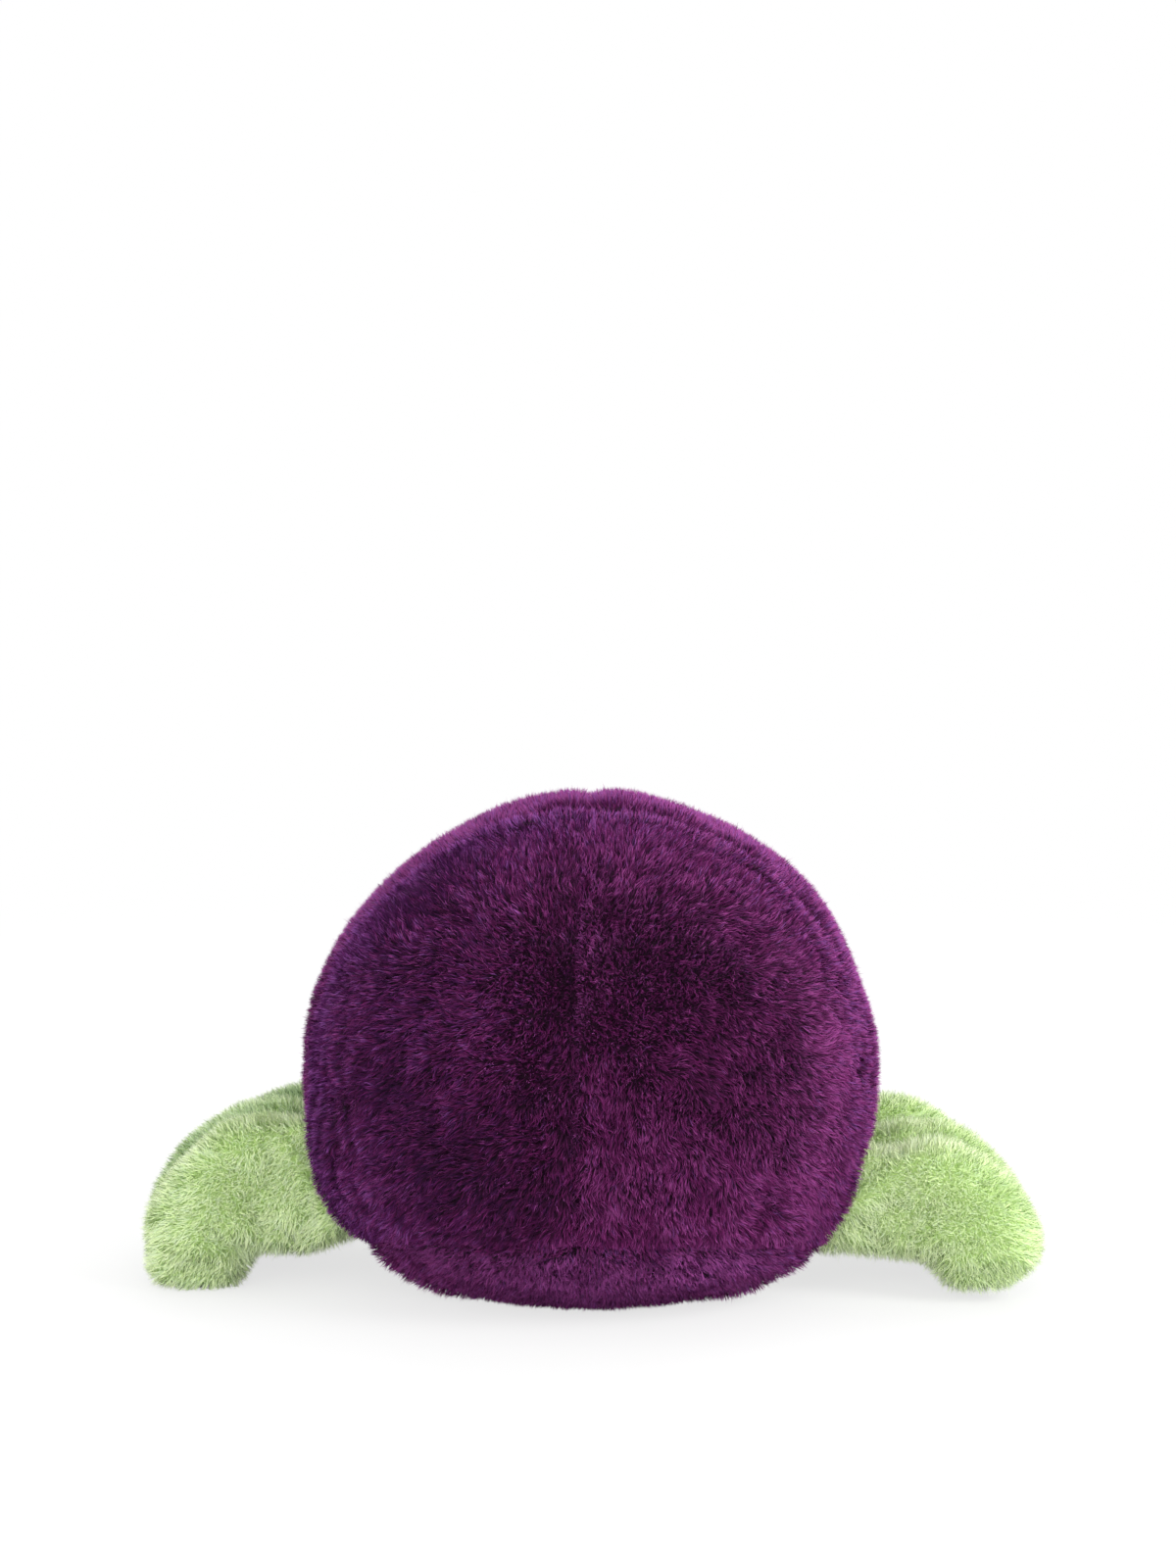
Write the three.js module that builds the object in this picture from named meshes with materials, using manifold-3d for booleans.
// Stuffed spider toy with a weighted bottom and eight hinged legs. Millimetres, +Z up.
// It sits on the floor at z = 0 and faces -Y. Its own left is +X. The origin is the middle
// of the flat that it sits on. Soft outlines are the mean surface of the pile.

import * as THREE from 'three';
import { mergeVertices } from 'three/addons/utils/BufferGeometryUtils.js';
import Module from 'manifold-3d';

const wasm = await Module();
wasm.setup();

// Body form: three half-widths and how square its outlines are (2 is an ellipse)
const BODY_HALF_WIDTH = 89.5;
const BODY_REAR_DEPTH = 72;
const BODY_FRONT_DEPTH = 96;
const BODY_RISE = 84.5;
const BODY_DROP = 74.5;
const PLAN_SQUARENESS = 2.2;
const CROWN_SQUARENESS = 1.95;
const BASE_SQUARENESS = 2.9;
const FLAT_DEPTH = 0.5;

// Seams of the body cover; the base seam is level in front and climbs towards the rear
const RIM_SEAM_Y = 13;
const RIM_SEAM_SKEW = 1;
const FACE_SEAM_Y = -52;
const BASE_SEAM_Z = 13;
const BASE_SEAM_BEND_Y = -12;
const BASE_SEAM_CLIMB = 12.5;
const SEAM_GAP = 0.3;

// Cloth
const PILE_DEPTH = 3;
const BACKING = 1.5;
const LEG_BACKING = 1;
const FIT_GAP = 0.3;

// Leg form, along its own middle line
const LEG_ROOT_HEIGHT = 32.5;
const LEG_ROOT_RADIUS = 21.5;
const LEG_ROOT_HALF_WIDTH = 12.8;
const LEG_STRAIGHT = 16;
const LEG_RUN = 25;
const FOOT_RADIUS = 19;
const FOOT_HALF_WIDTH = 15.5;
const LEG_BURIED = 38;
const LEG_SQUARENESS = 2.3;

// Where each leg leaves the body, in pitches forward of the rear leg, and how far it is turned
// towards the rear
const REAR_LEG_Y = -1;
const LEG_ROOT_CLEARANCE = 1.3;
const LEG_PLACES = [
  { name: 'rear', pitches: 0, turn: 3 },
  { name: 'mid_rear', pitches: 1, turn: -4 },
  { name: 'mid_front', pitches: 1.93, turn: -13 },
  { name: 'front', pitches: 2.79, turn: -42 },
];
const LEG_DROOP = 5;

// Weighting pouch
const POUCH_RADIUS = 46;
const POUCH_SHOULDER = 18;
const POUCH_DOME = 12;
const POUCH_CLOTH = 1.2;
const POUCH_SLIT_LENGTH = 26;
const POUCH_SLIT_WIDTH = 3;

// Plastic eyes: places as angles from the body's middle, across and up
const LARGE_EYE = { radius: 7.5, rise: 5.5, shank: 2.4, washer: 7, length: 13 };
const SMALL_EYE = { radius: 4.2, rise: 3.8, shank: 1.6, washer: 5, length: 10 };
const EYE_PLACES = [
  { name: 'eye', size: LARGE_EYE, across: 19, up: 4 },
  { name: 'inner_brow_eye', size: SMALL_EYE, across: 9, up: 20 },
  { name: 'outer_brow_eye', size: SMALL_EYE, across: 27, up: 18 },
];
const EYE_RIM = 0.8;
const WASHER_THICKNESS = 1.4;
const WASHER_STANDOFF = 0.8;
const SHANK_FIT = 0.2;

// Stitched mouth
const MOUTH_HALF_ANGLE = 9;
const MOUTH_UP = -11;
const MOUTH_CURVE = 4;
const MOUTH_THREAD_RADIUS = 1.2;

// Facets
const BODY_SIDES = 28;
const BODY_RINGS = 14;
const LEG_SIDES = 10;
const LEG_ARC_STEPS = 2;
const LEG_DOME_STEPS = 3;
const ROUND_SIDES = 12;
const DOME_STEPS = 3;
const MOUTH_STEPS = 8;
const MOUTH_SIDES = 5;

// Limits of the arithmetic
const SAME_POINT = 1e-4;
const SURFACE_TOLERANCE = 1e-6;

const PANEL = PILE_DEPTH + BACKING;
const LEG_SKIN = PILE_DEPTH + LEG_BACKING;
const BODY_MIDDLE_Z = BODY_DROP - FLAT_DEPTH;
const LEG_PITCH = 2 * LEG_ROOT_HALF_WIDTH + LEG_ROOT_CLEARANCE;
const FAR = 4 * (BODY_HALF_WIDTH + BODY_RISE);

// How far the middle of a facet of the face lies inside its true round
const FACET_SAG = BODY_FRONT_DEPTH
  * (2 - Math.cos(Math.PI / BODY_SIDES) - Math.cos(Math.PI / (2 * BODY_RINGS)));

const UP = new THREE.Vector3(0, 0, 1);
const SIDES = [{ side: 'left', sign: 1 }, { side: 'right', sign: -1 }];

const purplePlush = new THREE.MeshStandardMaterial({ color: 0x5a1b4d, roughness: 0.95, metalness: 0 });
const greenPlush = new THREE.MeshStandardMaterial({ color: 0xb0d588, roughness: 0.95, metalness: 0 });
const fibre = new THREE.MeshStandardMaterial({ color: 0xf0efea, roughness: 1, metalness: 0 });
const pouchCloth = new THREE.MeshStandardMaterial({ color: 0xe4e0d6, roughness: 0.9, metalness: 0 });
const pelletPlastic = new THREE.MeshStandardMaterial({ color: 0xd9dce0, roughness: 0.5, metalness: 0 });
const eyePlastic = new THREE.MeshStandardMaterial({ color: 0x0b0b0d, roughness: 0.08, metalness: 0 });
const washerPlastic = new THREE.MeshStandardMaterial({ color: 0xece9e0, roughness: 0.45, metalness: 0 });
const mouthThread = new THREE.MeshStandardMaterial({ color: 0x141016, roughness: 0.6, metalness: 0 });

const toRadians = THREE.MathUtils.degToRad;

// Solids and meshes

function solidOf(geometry) {
  const bare = geometry.clone();
  bare.deleteAttribute('normal');
  bare.deleteAttribute('uv');
  const merged = mergeVertices(bare, SAME_POINT);
  const corners = merged.index.array;
  const kept = [];
  for (let i = 0; i < corners.length; i += 3) {
    const [a, b, c] = [corners[i], corners[i + 1], corners[i + 2]];
    if (a !== b && b !== c && c !== a) kept.push(a, b, c);
  }
  return new wasm.Manifold(new wasm.Mesh({
    numProp: 3,
    vertProperties: new Float32Array(merged.attributes.position.array),
    triVerts: new Uint32Array(kept),
  }));
}

function meshOf(solid, name, material) {
  const shape = solid.getMesh();
  const geometry = new THREE.BufferGeometry();
  geometry.setAttribute('position', new THREE.BufferAttribute(shape.vertProperties, 3));
  geometry.setIndex(new THREE.BufferAttribute(shape.triVerts, 1));
  geometry.computeVertexNormals();
  const mesh = new THREE.Mesh(geometry, material);
  mesh.name = name;
  return mesh;
}

// A block between two corners; a side that is left out runs far past the toy
function block({ x = [-FAR, FAR], y = [-FAR, FAR], z = [-FAR, FAR] }, frame = new THREE.Matrix4()) {
  const geometry = new THREE.BoxGeometry(x[1] - x[0], y[1] - y[0], z[1] - z[0]);
  geometry.translate((x[0] + x[1]) / 2, (y[0] + y[1]) / 2, (z[0] + z[1]) / 2);
  return solidOf(geometry.applyMatrix4(frame));
}

// Everything below the base seam, raised by lift
function belowBaseSeam(lift) {
  const climb = new THREE.Matrix4().makeRotationX(toRadians(BASE_SEAM_CLIMB));
  climb.setPosition(0, BASE_SEAM_BEND_Y, BASE_SEAM_Z);
  return block({ z: [-FAR, BASE_SEAM_Z + lift] }).add(block({ z: [-FAR, lift] }, climb));
}

// A closed skin over rings of points, with a single point or a flat fan at each end
function ringsGeometry(rings, firstPoint, lastPoint) {
  const sides = rings[0].length;
  const points = [firstPoint, ...rings.flat(), lastPoint];
  const at = (ring, side) => 1 + ring * sides + (side % sides);
  const index = [];
  for (let side = 0; side < sides; side += 1) {
    index.push(0, at(0, side + 1), at(0, side));
    for (let ring = 0; ring + 1 < rings.length; ring += 1) {
      index.push(at(ring, side), at(ring, side + 1), at(ring + 1, side));
      index.push(at(ring, side + 1), at(ring + 1, side + 1), at(ring + 1, side));
    }
    index.push(points.length - 1, at(rings.length - 1, side), at(rings.length - 1, side + 1));
  }
  const geometry = new THREE.BufferGeometry().setFromPoints(points);
  geometry.setIndex(index);
  return geometry;
}

// Body form

// How far the body's surface lies from its middle in one direction, drawn in by inset
function bodyReach(direction, inset) {
  const depth = direction.y > 0 ? BODY_REAR_DEPTH : BODY_FRONT_DEPTH;
  const height = direction.z > 0 ? BODY_RISE : BODY_DROP;
  const squareness = direction.z > 0 ? CROWN_SQUARENESS : BASE_SQUARENESS;
  const across = Math.abs(direction.x / (BODY_HALF_WIDTH - inset)) ** PLAN_SQUARENESS;
  const along = Math.abs(direction.y / (depth - inset)) ** PLAN_SQUARENESS;
  const upright = Math.abs(direction.z / (height - inset)) ** squareness;
  return ((across + along) ** (squareness / PLAN_SQUARENESS) + upright) ** (-1 / squareness);
}

function bodyPoint(direction, inset) {
  const point = direction.clone().multiplyScalar(bodyReach(direction, inset));
  point.z += BODY_MIDDLE_Z;
  return point;
}

function isInBody(point) {
  const offset = point.clone();
  offset.z -= BODY_MIDDLE_Z;
  return offset.length() < bodyReach(offset.clone().normalize(), 0);
}

// The body's surface where a line from a point inside the body leaves it
function surfaceAlong(start, direction) {
  let inside = 0;
  let outside = FAR;
  while (outside - inside > SURFACE_TOLERANCE) {
    const middle = (inside + outside) / 2;
    if (isInBody(start.clone().addScaledVector(direction, middle))) inside = middle;
    else outside = middle;
  }
  return inside;
}

function bodyGeometry(inset) {
  const rings = [];
  for (let ring = 1; ring < BODY_RINGS; ring += 1) {
    const tilt = -Math.PI / 2 + (Math.PI * ring) / BODY_RINGS;
    const points = [];
    for (let side = 0; side < BODY_SIDES; side += 1) {
      const turn = (2 * Math.PI * side) / BODY_SIDES;
      const flat = Math.cos(tilt);
      const direction = new THREE.Vector3(flat * Math.cos(turn), flat * Math.sin(turn), Math.sin(tilt));
      points.push(bodyPoint(direction, inset));
    }
    rings.push(points);
  }
  return ringsGeometry(rings, bodyPoint(UP.clone().negate(), inset), bodyPoint(UP, inset));
}

function bodySolid(inset) {
  return solidOf(bodyGeometry(inset)).intersect(block({ z: [inset, FAR] }));
}

// Leg form, in the leg's own frame: x outwards from the root, z up

const FOOT_HEIGHT = FOOT_RADIUS - FLAT_DEPTH;
const LEG_BEND = 2 * Math.atan2(LEG_ROOT_HEIGHT - FOOT_HEIGHT, LEG_RUN);
const LEG_BEND_RADIUS = LEG_RUN / Math.sin(LEG_BEND);

// One ring of the leg: a squared oval standing across its middle line
function legRing(x, z, slope, radius, halfWidth) {
  const points = [];
  for (let side = 0; side < LEG_SIDES; side += 1) {
    const turn = (2 * Math.PI * side) / LEG_SIDES;
    const [c, s] = [Math.cos(turn), Math.sin(turn)];
    const oval = (Math.abs(c) ** LEG_SQUARENESS + Math.abs(s) ** LEG_SQUARENESS) ** (-1 / LEG_SQUARENESS);
    const upward = radius * oval * s;
    points.push(new THREE.Vector3(
      x + upward * Math.sin(slope),
      halfWidth * oval * c,
      z + upward * Math.cos(slope),
    ));
  }
  return points;
}

function legGeometry(inset) {
  const radiusAt = (share) => THREE.MathUtils.lerp(LEG_ROOT_RADIUS, FOOT_RADIUS, share) - inset;
  const widthAt = (share) => THREE.MathUtils.lerp(LEG_ROOT_HALF_WIDTH, FOOT_HALF_WIDTH, share) - inset;
  const rings = [legRing(-LEG_BURIED, LEG_ROOT_HEIGHT, 0, radiusAt(0), widthAt(0))];
  for (let step = 0; step <= LEG_ARC_STEPS; step += 1) {
    const share = step / LEG_ARC_STEPS;
    const slope = LEG_BEND * share;
    const x = LEG_STRAIGHT + LEG_BEND_RADIUS * Math.sin(slope);
    const z = LEG_ROOT_HEIGHT - LEG_BEND_RADIUS * (1 - Math.cos(slope));
    rings.push(legRing(x, z, slope, radiusAt(share), widthAt(share)));
  }
  const footX = LEG_STRAIGHT + LEG_RUN;
  const domePoint = (advance) => [
    footX + advance * Math.cos(LEG_BEND),
    FOOT_HEIGHT - advance * Math.sin(LEG_BEND),
  ];
  for (let step = 1; step < LEG_DOME_STEPS; step += 1) {
    const angle = (Math.PI / 2) * (step / LEG_DOME_STEPS);
    const [x, z] = domePoint(radiusAt(1) * Math.sin(angle));
    rings.push(legRing(x, z, LEG_BEND, radiusAt(1) * Math.cos(angle), widthAt(1) * Math.cos(angle)));
  }
  const [tipX, tipZ] = domePoint(radiusAt(1));
  return ringsGeometry(
    rings,
    new THREE.Vector3(-LEG_BURIED, 0, LEG_ROOT_HEIGHT),
    new THREE.Vector3(tipX, 0, tipZ),
  );
}

function legSolid(inset) {
  return solidOf(legGeometry(inset)).intersect(block({ z: [inset, FAR] }));
}

// A leg and its three pieces, cut to the body as it stands and as the leg hangs down
function makeLeg(place, side, sign) {
  const turn = toRadians(place.turn);
  const outward = new THREE.Vector3(sign * Math.cos(turn), Math.sin(turn), 0);
  const root = new THREE.Vector3(0, REAR_LEG_Y - place.pitches * LEG_PITCH, LEG_ROOT_HEIGHT);
  root.x = sign * surfaceAlong(root, new THREE.Vector3(sign, 0, 0));

  const leg = new THREE.Group();
  leg.position.set(root.x, root.y, 0);
  leg.rotation.z = Math.atan2(outward.y, outward.x);
  leg.updateMatrix();

  // The hinge lies along the top of the root seam, on the body's surface
  const buried = new THREE.Vector3(root.x, root.y, LEG_ROOT_HEIGHT + LEG_ROOT_RADIUS)
    .addScaledVector(outward, -LEG_BURIED);
  const hingeX = surfaceAlong(buried, outward) - LEG_BURIED;
  const hinge = new THREE.Vector3(hingeX, 0, LEG_ROOT_HEIGHT + LEG_ROOT_RADIUS);

  const body = bodyGeometry(-FIT_GAP).applyMatrix4(leg.matrix.clone().invert());
  const drooped = body.clone()
    .translate(-hinge.x, 0, -hinge.z)
    .applyMatrix4(new THREE.Matrix4().makeRotationY(-toRadians(LEG_DROOP)))
    .translate(hinge.x, 0, hinge.z);
  const room = solidOf(body).add(solidOf(drooped));

  const skin = legSolid(0).subtract(legSolid(LEG_SKIN)).subtract(room);
  const rearHalf = block({ y: sign > 0 ? [SEAM_GAP / 2, FAR] : [-FAR, -SEAM_GAP / 2] });
  const frontHalf = block({ y: sign > 0 ? [-FAR, -SEAM_GAP / 2] : [SEAM_GAP / 2, FAR] });
  const name = `leg_${side}_${place.name}`;
  leg.add(meshOf(skin.intersect(rearHalf), `${name}_rear_skin`, greenPlush));
  leg.add(meshOf(skin.intersect(frontHalf), `${name}_front_skin`, greenPlush));
  leg.add(meshOf(legSolid(LEG_SKIN + FIT_GAP).subtract(room), `${name}_filling`, fibre));

  const point = hinge.clone().applyMatrix4(leg.matrix);
  const axis = outward.clone().cross(UP);
  console.log(`hinge ${name}`, point.toArray().map((v) => v.toFixed(2)).join(' '),
    'axis', axis.toArray().map((v) => v.toFixed(4)).join(' '));
  return leg;
}

// A solid turned about the z axis from a closed outline of [radius, height] pairs
function turned(outline) {
  const points = outline.map(([radius, height]) => new THREE.Vector2(radius, height));
  return new THREE.LatheGeometry(points, ROUND_SIDES).rotateX(Math.PI / 2);
}

function cylinder(radius, bottom, top) {
  return turned([[0, bottom], [radius, bottom], [radius, top], [0, top]]);
}

// The outline of a dome on a straight rim
function domeOutline(radius, rise, rim) {
  const outline = [[0, 0], [radius, 0]];
  for (let step = 0; step < DOME_STEPS; step += 1) {
    const angle = (Math.PI / 2) * (step / DOME_STEPS);
    outline.push([radius * Math.cos(angle), rim + rise * Math.sin(angle)]);
  }
  outline.push([0, rim + rise]);
  return outline;
}

function faceDirection(across, up) {
  const [a, u] = [toRadians(across), toRadians(up)];
  return new THREE.Vector3(Math.sin(a) * Math.cos(u), -Math.cos(a) * Math.cos(u), Math.sin(u));
}

// The frame of an eye: its origin on the face's backing cloth, its z axis out of the face
function faceFrame(across, up) {
  const step = 1; // degrees
  const at = (a, u) => bodyPoint(faceDirection(a, u), 0);
  const sideways = at(across + step, up).sub(at(across - step, up));
  const upwards = at(across, up + step).sub(at(across, up - step));
  const normal = sideways.cross(upwards).normalize();
  const origin = at(across, up).addScaledVector(normal, -PILE_DEPTH);
  return new THREE.Matrix4().compose(
    origin,
    new THREE.Quaternion().setFromUnitVectors(UP, normal),
    new THREE.Vector3(1, 1, 1),
  );
}

// One eye with its washer, and the room that it needs in the face and in the stuffing
function makeEye({ name, size, across, up }, side, sign) {
  const frame = faceFrame(sign * across, up);
  const put = (geometry) => solidOf(geometry.applyMatrix4(frame));
  const dome = turned(domeOutline(size.radius, size.rise, EYE_RIM));
  const eye = put(dome).add(put(cylinder(size.shank, -size.length, EYE_RIM)));
  const washerTop = -BACKING - FACET_SAG - WASHER_STANDOFF;
  const washerBottom = washerTop - WASHER_THICKNESS;
  const washer = put(turned([
    [size.shank + SHANK_FIT, washerBottom],
    [size.washer, washerBottom],
    [size.washer, washerTop],
    [size.shank + SHANK_FIT, washerTop],
    [size.shank + SHANK_FIT, washerBottom],
  ]));
  const faceRoom = put(cylinder(size.radius + FIT_GAP, -FIT_GAP, size.rise + PANEL))
    .add(put(cylinder(size.shank + FIT_GAP, -PANEL - size.length, size.rise)));
  const coreRoom = put(cylinder(size.washer + FIT_GAP, -size.length - FIT_GAP, size.rise));
  return {
    meshes: [
      meshOf(eye, `${side}_${name}`, eyePlastic),
      meshOf(washer, `${side}_${name}_washer`, washerPlastic),
    ],
    faceRoom,
    coreRoom,
  };
}

// The stitched mouth: one thread line sunk into the pile
function mouthSolid(radius) {
  const points = [];
  for (let step = 0; step <= MOUTH_STEPS; step += 1) {
    const share = (2 * step) / MOUTH_STEPS - 1;
    const frame = faceFrame(MOUTH_HALF_ANGLE * share, MOUTH_UP + MOUTH_CURVE * share * share);
    points.push(new THREE.Vector3(0, 0, MOUTH_THREAD_RADIUS + FIT_GAP).applyMatrix4(frame));
  }
  const section = new THREE.Shape();
  for (let side = 0; side < MOUTH_SIDES; side += 1) {
    const turn = (2 * Math.PI * side) / MOUTH_SIDES;
    const [x, y] = [radius * Math.cos(turn), radius * Math.sin(turn)];
    if (side === 0) section.moveTo(x, y);
    else section.lineTo(x, y);
  }
  section.closePath();
  const path = new THREE.CatmullRomCurve3(points);
  return solidOf(new THREE.ExtrudeGeometry(section, { steps: MOUTH_STEPS, extrudePath: path }));
}

// The weighting pouch, drawn in by inset: a domed top, and below it the bowl of the base
function pouchMould(inset) {
  const [radius, shoulder] = [POUCH_RADIUS - inset, POUCH_SHOULDER - inset];
  return solidOf(turned(domeOutline(radius, POUCH_DOME, shoulder)));
}

function pouchSolid(inset) {
  return pouchMould(inset).intersect(bodySolid(PANEL + FIT_GAP + inset));
}

// The toy

const toy = new THREE.Group();

const cover = bodySolid(0).subtract(bodySolid(PANEL));
const rimFrame = new THREE.Matrix4().makeRotationZ(toRadians(RIM_SEAM_SKEW));
rimFrame.setPosition(0, RIM_SEAM_Y, 0);
const base = cover.intersect(belowBaseSeam(-SEAM_GAP / 2));
const upper = cover.subtract(belowBaseSeam(SEAM_GAP / 2));
toy.add(meshOf(base, 'base_panel', purplePlush));
for (const { side, sign } of SIDES) {
  const half = sign > 0 ? [SEAM_GAP / 2, FAR] : [-FAR, -SEAM_GAP / 2];
  const sideOfCover = upper.intersect(block({ x: half }));
  const rear = sideOfCover.intersect(block({ y: [SEAM_GAP / 2, FAR] }, rimFrame));
  const crown = sideOfCover.intersect(block({ y: [-FAR, -SEAM_GAP / 2] }, rimFrame))
    .intersect(block({ y: [FACE_SEAM_Y + SEAM_GAP / 2, FAR] }));
  toy.add(meshOf(rear, `rear_panel_${side}`, purplePlush));
  toy.add(meshOf(crown, `crown_panel_${side}`, purplePlush));
}

let face = upper.intersect(block({ y: [-FAR, FACE_SEAM_Y - SEAM_GAP / 2] }));
let core = bodySolid(PANEL + FIT_GAP);
for (const { side, sign } of SIDES) {
  for (const place of EYE_PLACES) {
    const eye = makeEye(place, side, sign);
    toy.add(...eye.meshes);
    face = face.subtract(eye.faceRoom);
    core = core.subtract(eye.coreRoom);
  }
}
face = face.subtract(mouthSolid(MOUTH_THREAD_RADIUS + FIT_GAP));
toy.add(meshOf(face, 'face_panel', purplePlush));
toy.add(meshOf(mouthSolid(MOUTH_THREAD_RADIUS), 'mouth_stitching', mouthThread));

const slit = block({
  x: [-POUCH_SLIT_LENGTH / 2, POUCH_SLIT_LENGTH / 2],
  y: [-POUCH_SLIT_WIDTH / 2, POUCH_SLIT_WIDTH / 2],
  z: [POUCH_SHOULDER, FAR],
});
core = core.subtract(pouchMould(-FIT_GAP));
toy.add(meshOf(core, 'fibrefill_core', fibre));
const pouch = pouchSolid(0).subtract(pouchSolid(POUCH_CLOTH)).subtract(slit);
toy.add(meshOf(pouch, 'pellet_pouch', pouchCloth));
toy.add(meshOf(pouchSolid(POUCH_CLOTH + FIT_GAP), 'pellet_fill', pelletPlastic));

for (const { side, sign } of SIDES) {
  for (const place of LEG_PLACES) toy.add(makeLeg(place, side, sign));
}

export default toy;
